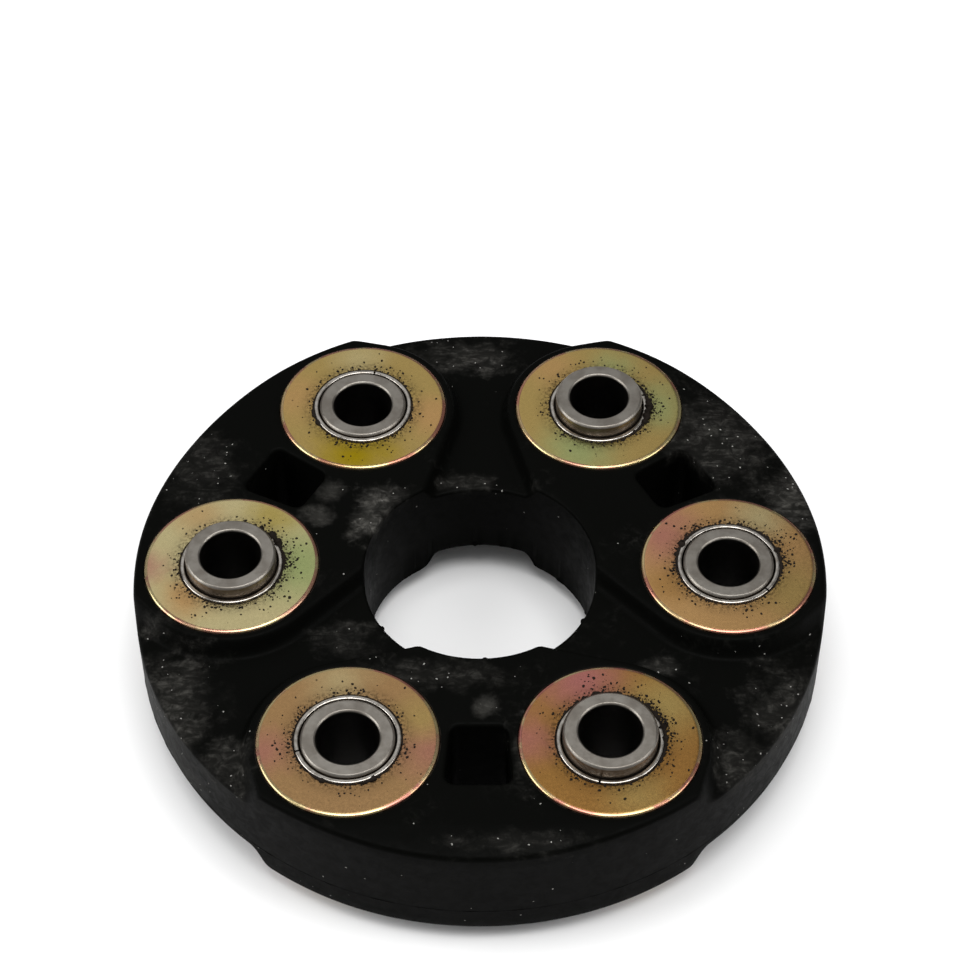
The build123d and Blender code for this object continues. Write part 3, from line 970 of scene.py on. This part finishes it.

# %% [markdown]
# ## Bare steel and cord
# The sleeves are faced on a lathe and left bare: fine rings on the flat, a painted brown reflection on
# the wall, and painted shade in the bore, which is coloured near black. The liners are bright strip. The
# cords lie hidden in the rubber, so they keep the imported mesh and only get the brown of dipped
# polyester, wound in turns.

# %% Finishes of the sleeves, liners and cords
def sleeve_finish(name, spot):
    """Bare steel with lathe rings, a painted brown reflection on the wall and painted shade in the bore."""
    made, tree, shader, place = start_finish(name, roughness=0.35, metallic=1.0)
    radius = axis_distance(tree, place, spot)
    drift = noise_of(tree, place, 0.25, detail=4.0, rough=0.6)
    fine = noise_of(tree, place, 2.2, detail=4.0, rough=0.65)
    colour = mixed(tree, fade(tree, drift, 0.35, 0.65), (0.29, 0.27, 0.24, 1.0), (0.21, 0.19, 0.165, 1.0))
    # The outer wall is painted a darker brown: a painted bronze reflection, broken up by noise.
    wall = fade(tree, radius, SLEEVE_R - 0.10, SLEEVE_R - 0.02)
    bronze_reflection = times(tree, wall, fade(tree, fine, 0.3, 0.7, 0.45, 0.85))
    colour = mixed(tree, bronze_reflection, colour, (0.16, 0.12, 0.085, 1.0))
    # Painted shade: the bore is coloured near black, as shade inside the deep hole.
    bore = fade(tree, radius, SLEEVE_BORE_R + 0.08, SLEEVE_BORE_R + 0.25, 1.0, 0.0)
    colour = mixed(tree, times(tree, bore, 0.94), colour, (0.02, 0.018, 0.016, 1.0))
    tree.links.new(colour, shader.inputs["Base Color"])
    tree.links.new(fade(tree, fine, 0.3, 0.7, 0.34, 0.46), shader.inputs["Roughness"])
    rings = maths(tree, "SINE", maths(tree, "MULTIPLY_ADD", radius, 40.0, times(tree, drift, 6.0)))
    under = bumped(tree, shader, rings, 0.004, strength=0.35)
    bumped(tree, shader, fine, 0.01, strength=0.3, under=under)
    return made


def liner_finish():
    """Bright strip steel with a little tarnish."""
    made, tree, shader, place = start_finish("liner_bright", roughness=0.22, metallic=1.0)
    fine = noise_of(tree, place, 0.8, detail=4.0, rough=0.6)
    colour = mixed(tree, fade(tree, fine, 0.40, 0.7), (0.52, 0.49, 0.45, 1.0), (0.32, 0.29, 0.25, 1.0))
    tree.links.new(colour, shader.inputs["Base Color"])
    bumped(tree, shader, fine, 0.01, strength=0.3)
    return made


def cord_finish():
    """Dipped polyester cord, wound in turns that lie side by side."""
    made, tree, shader, place = start_finish("cord_dipped", roughness=0.7)
    height = add(tree, "ShaderNodeSeparateXYZ", [("Vector", place)]).outputs["Z"]
    turns = maths(tree, "SINE", times(tree, height, 2 * pi / (0.9 * MM)))
    colour = mixed(tree, fade(tree, turns, -1.0, 1.0), (0.10, 0.045, 0.02, 1.0), (0.26, 0.13, 0.06, 1.0))
    tree.links.new(colour, shader.inputs["Base Color"])
    bumped(tree, shader, turns, 0.12, strength=0.8)
    return made


liner_look, cord_look = liner_finish(), cord_finish()
print("finishes:", liner_look.name, cord_look.name)

# %% [markdown]
# ## The six bushings
# Every bushing has the same four turned pieces. The sleeves stand out at the upper and at the lower
# face by turns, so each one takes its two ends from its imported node. The seams of the liners turn with
# their bushings, as they do when one fixture loads them all.

# %% Build and place the bushings
for index, (spot, (tone, tints)) in enumerate(zip(bushing_spots, WASHER_TONES)):
    number = index + 1
    middle, size = size_of(f"inner_sleeve_{number}")
    low, high = middle[2] - size[2] / 2, middle[2] + size[2] / 2
    plating = washer_finish(f"washer_plating_{number}", spot, tone, tints)
    bare = sleeve_finish(f"sleeve_steel_{number}", spot)
    steel_piece(f"washer_upper_{number}", spot, washer_section(1), WASHER_COUNT, plating,
                f"top_washer_{number}")
    steel_piece(f"washer_lower_{number}", spot, washer_section(-1), WASHER_COUNT, plating,
                f"bottom_washer_{number}")
    steel_piece(f"sleeve_turned_{number}", spot, sleeve_section(low, high), SLEEVE_COUNT, bare,
                f"inner_sleeve_{number}")
    steel_piece(f"liner_rolled_{number}", spot, liner_section(), LINER_COUNT, liner_look,
                f"liner_ring_{number}", seam=60.0 * index + SEAM_AFTER, gap=SEAM_GAP)
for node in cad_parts:
    if "cord" in node:
        carried = bpy.data.objects[node]
        carried.data.materials.clear()
        carried.data.materials.append(cord_look)
print("steel pieces:", 4 * BUSHINGS)

# %% [markdown]
# ## Crumbs of rubber
# When the disc was moulded, rubber crept past the liners and over the washers, and tore off as crumbs.
# They repeat round every bushing, so they are one Geometry Nodes tree: it scatters small flattened
# lumps over a ring on each washer, by a weight that fades away from the liner. Placing each one by hand
# or by a particle system would give the same look with far more to keep in order.

# %% Geometry Nodes: crumbs
def start_group(name, floats):
    """A geometry tree with a geometry input, named number inputs, a seed and a material."""
    tree = bpy.data.node_groups.new(name, "GeometryNodeTree")
    tree.interface.new_socket(name="Geometry", in_out="OUTPUT", socket_type="NodeSocketGeometry")
    kinds = [("Geometry", "Geometry")] + [(label, "Float") for label in floats]
    for label, kind in kinds + [("Seed", "Int"), ("Finish", "Material")]:
        tree.interface.new_socket(name=label, in_out="INPUT", socket_type="NodeSocket" + kind)
    return tree, add(tree, "NodeGroupInput").outputs, add(tree, "NodeGroupOutput")


def end_group(tree, shape, given, end):
    """Realize what the tree made, give it its material and hand it on."""
    real = add(tree, "GeometryNodeRealizeInstances", [("Geometry", shape)]).outputs["Geometry"]
    dressed = add(tree, "GeometryNodeSetMaterial", [("Geometry", real), ("Material", given["Finish"])])
    tree.links.new(dressed.outputs["Geometry"], end.inputs["Geometry"])


def stored_value(tree, name):
    """The value stored under this name at the points."""
    made = add(tree, "GeometryNodeInputNamedAttribute", [("Name", name)], data_type="FLOAT")
    return made.outputs["Attribute"]


def crumb_group():
    """Small flattened lumps scattered over faces by the weight stored at their points."""
    tree, given, end = start_group("rubber_crumb_scatter", ("Density", "Smallest", "Largest"))
    seed = ("Seed", given["Seed"])
    density = times(tree, given["Density"], stored_value(tree, "weight"))
    spots = add(tree, "GeometryNodeDistributePointsOnFaces",
                [("Mesh", given["Geometry"]), ("Density", density), seed], distribute_method="RANDOM")
    ball = add(tree, "GeometryNodeMeshIcoSphere", [("Radius", 1.0), ("Subdivisions", 1)]).outputs["Mesh"]
    lump = add(tree, "GeometryNodeTransform", [("Geometry", ball), ("Scale", (1.0, 0.75, 0.55))])
    share = add(tree, "FunctionNodeRandomValue", [(2, 0.0), (3, 1.0), seed], data_type="FLOAT").outputs[1]
    grown = maths(tree, "POWER", share, 3.0)
    spread = maths(tree, "SUBTRACT", given["Largest"], given["Smallest"])
    size = maths(tree, "MULTIPLY_ADD", grown, spread, given["Smallest"])
    scale = add(tree, "ShaderNodeCombineXYZ", [(0, size), (1, size), (2, size)]).outputs[0]
    spin = add(tree, "FunctionNodeRandomValue", [(0, (-0.4, -0.4, 0.0)), (1, (0.4, 0.4, 6.28)), seed],
               data_type="FLOAT_VECTOR").outputs[0]
    placed = add(tree, "GeometryNodeInstanceOnPoints", [
        ("Points", spots.outputs["Points"]), ("Instance", lump.outputs["Geometry"]),
        ("Rotation", spin), ("Scale", scale)])
    end_group(tree, placed.outputs["Instances"], given, end)
    return tree


crumb_tree = crumb_group()
print("crumb tree:", len(crumb_tree.nodes), "nodes")

# %% [markdown]
# ## Beads of flash
# The same rubber stands as a ragged bead beside each liner and in the gap round each washer. A bead
# runs along a circle whose points store its thickness, so that one washer can have a thick lump and
# another almost none. The tree sweeps a small ring along the circle and lets noise push its skin about.

# %% Geometry Nodes: beads
def bead_group():
    """A ragged bead along each edge, as thick as the value stored at its points."""
    tree, given, end = start_group("rubber_bead", ("Raggedness", "Lump length"))
    thick = stored_value(tree, "thick")
    line = add(tree, "GeometryNodeMeshToCurve", [("Mesh", given["Geometry"])]).outputs["Curve"]
    sized = add(tree, "GeometryNodeSetCurveRadius", [("Curve", line), ("Radius", thick)]).outputs["Curve"]
    ring = [("Resolution", 6), ("Radius", 1.0)]
    section = add(tree, "GeometryNodeCurvePrimitiveCircle", ring, mode="RADIUS").outputs["Curve"]
    swept = add(tree, "GeometryNodeCurveToMesh", [("Curve", sized), ("Profile Curve", section)])
    if "Scale" in swept.inputs:
        tree.links.new(thick, swept.inputs["Scale"])
    where = add(tree, "GeometryNodeInputPosition").outputs[0]
    pattern = add(tree, "ShaderNodeTexNoise", [("Vector", where), ("Scale", 1.0), ("Detail", 3.0)])
    tree.links.new(maths(tree, "DIVIDE", 1.0, given["Lump length"]), pattern.inputs["Scale"])
    centred = vectors(tree, "SUBTRACT", pattern.outputs["Color"], (0.5, 0.5, 0.5))[0]
    amount = times(tree, given["Raggedness"], maths(tree, "DIVIDE", thick, 0.3 * MM))
    push = add(tree, "ShaderNodeVectorMath", [(0, centred), ("Scale", amount)], operation="SCALE").outputs[0]
    moved = add(tree, "GeometryNodeSetPosition", [("Geometry", swept.outputs["Mesh"]), ("Offset", push)])
    end_group(tree, moved.outputs["Geometry"], given, end)
    return tree


bead_tree = bead_group()
print("bead tree:", len(bead_tree.nodes), "nodes")

# %% [markdown]
# ## Growing both
# Each tree runs on a plain mesh with one stored value. The result is baked to a mesh and the modifier
# is taken away, because only a plain mesh can ride on a body.

# %% Grow the crumbs and the beads
CRUMB_FADE, CRUMB_EDGE, CRUMB_SPREAD = 1.35, 0.5, 38
CRUMB_TURNS, CRUMB_ROWS, CRUMB_STEP = 72, 14, 0.45
CRUMB_LUMPS = (
    (0, 40.0, 1.5), (0, 160.0, 1.2), (1, 10.0, 1.6), (3, 20.0, 1.6), (3, 330.0, 0.9),
    (4, 200.0, 0.9), (5, 100.0, 1.6), (5, 20.0, 1.3))
BEADS = ((LINER_R + 0.22, WASHER_TOP + 0.02, 0.09), (POCKET_R + 0.10, LAND_TOP - 0.12, 0.07))
BEAD_STEPS, BEAD_GAIN = 300, 2.2
BEAD_LUMPS = (
    (3, 35.0, 28.0, 0.34), (3, 75.0, 16.0, 0.28), (5, 95.0, 34.0, 0.36), (5, 15.0, 30.0, 0.34),
    (1, 350.0, 30.0, 0.34), (0, 150.0, 24.0, 0.32), (0, 20.0, 30.0, 0.36), (2, 200.0, 14.0, 0.26),
    (4, 300.0, 12.0, 0.22), (4, 240.0, 9.0, 0.22))


def grown_piece(name, points, edges, faces, stored, values, group, values_in, finish):
    """Run a geometry tree on a mesh that carries one stored value, and keep the result as a mesh."""
    base = bpy.data.meshes.new(name + "_base")
    base.from_pydata([(x * MM, y * MM, z * MM) for x, y, z in points], edges, faces)
    base.attributes.new(stored, "FLOAT", "POINT").data.foreach_set("value", values)
    made = bpy.data.objects.new(name, base)
    bpy.context.scene.collection.objects.link(made)
    modifier = made.modifiers.new("grow", "NODES")
    modifier.node_group = group
    inputs = {item.name: item.identifier for item in group.interface.items_tree if item.in_out == "INPUT"}
    for label, value in {**values_in, "Finish": finish}.items():
        modifier[inputs[label]] = value
    bpy.context.view_layer.update()
    depsgraph = bpy.context.evaluated_depsgraph_get()
    grown = bpy.data.meshes.new_from_object(made.evaluated_get(depsgraph))
    made.modifiers.remove(modifier)
    made.data = grown
    grown.name = name
    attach(made, "root")
    return made


def near_bearing(bearing, side, spread):
    """One at the side, fading to none as the bearing leaves it, all in degrees."""
    return exp(-(((bearing - side + 180) % 360 - 180) / spread) ** 2)


def crumb_rings():
    """A flat ring on the face of every upper washer, with the weight of crumbs at each point."""
    points, faces, weights = [], [], []
    turns, radii = CRUMB_TURNS, [LINER_R + 0.1 + CRUMB_STEP * row for row in range(CRUMB_ROWS)]
    for index, spot in enumerate(bushing_spots):
        for radius in radii:
            for step in range(turns):
                bearing = 360.0 / turns * step
                x, y = point_at(spot, radius, bearing)
                lumps = sum(gain * near_bearing(bearing, side, CRUMB_SPREAD)
                            for which, side, gain in CRUMB_LUMPS if which == index)
                patchy = max(0.15, 0.6 + 1.1 * wander(x, y, 3.0, 4.0, index))
                points.append((x, y, WASHER_TOP))
                away = radius - LINER_R
                faded = exp(-away / CRUMB_FADE) + 1.8 * exp(-away / CRUMB_EDGE)
                weights.append((0.45 + lumps) * patchy * faded)
        first = index * turns * len(radii)
        for ring in range(len(radii) - 1):
            for step in range(turns):
                a, b = first + ring * turns + step, first + ring * turns + (step + 1) % turns
                faces.append((a, a + turns, b + turns, b))
    return points, faces, weights


def bead_circles():
    """Circles beside each upper liner and round each washer, with the bead's thickness at each point."""
    points, edges, thickness = [], [], []
    for index, spot in enumerate(bushing_spots):
        for radius, height, least in BEADS:
            first = len(points)
            for step in range(BEAD_STEPS):
                bearing = 360.0 / BEAD_STEPS * step
                x, y = point_at(spot, radius, bearing)
                thick = least + 0.09 * max(0.0, wander(x, y, 7.0, 1.6, index))
                if radius < WASHER_R / 1.5:
                    for which, side, spread, lump in BEAD_LUMPS:
                        if which == index:
                            lumpy = max(0.15, 0.7 + 1.6 * wander(x, y, 11.0, 1.1, index))
                            thick += BEAD_GAIN * lump * near_bearing(bearing, side, spread) * lumpy
                points.append((x, y, height))
                thickness.append(thick * MM)
                edges.append((first + step, first + (step + 1) % BEAD_STEPS))
    return points, edges, thickness


crumb_finish, _, crumb_shader, _ = start_finish("rubber_crumb", roughness=0.75, colour=(0.010, 0.007, 0.005))
crumb_shader.inputs["Specular IOR Level"].default_value = 0.1
points, faces, weights = crumb_rings()
crumbs = grown_piece("rubber_crumbs", points, [], faces, "weight", weights, crumb_tree,
                     {"Density": 1.0e7, "Smallest": 0.06 * MM, "Largest": 0.40 * MM, "Seed": 7}, crumb_finish)
points, edges, thickness = bead_circles()
beads = grown_piece("rubber_flash", points, edges, [], "thick", thickness, bead_tree,
                    {"Raggedness": 0.6 * MM, "Lump length": 0.8 * MM, "Seed": 3}, crumb_finish)
print("crumb faces:", len(crumbs.data.polygons), "flash faces:", len(beads.data.polygons))
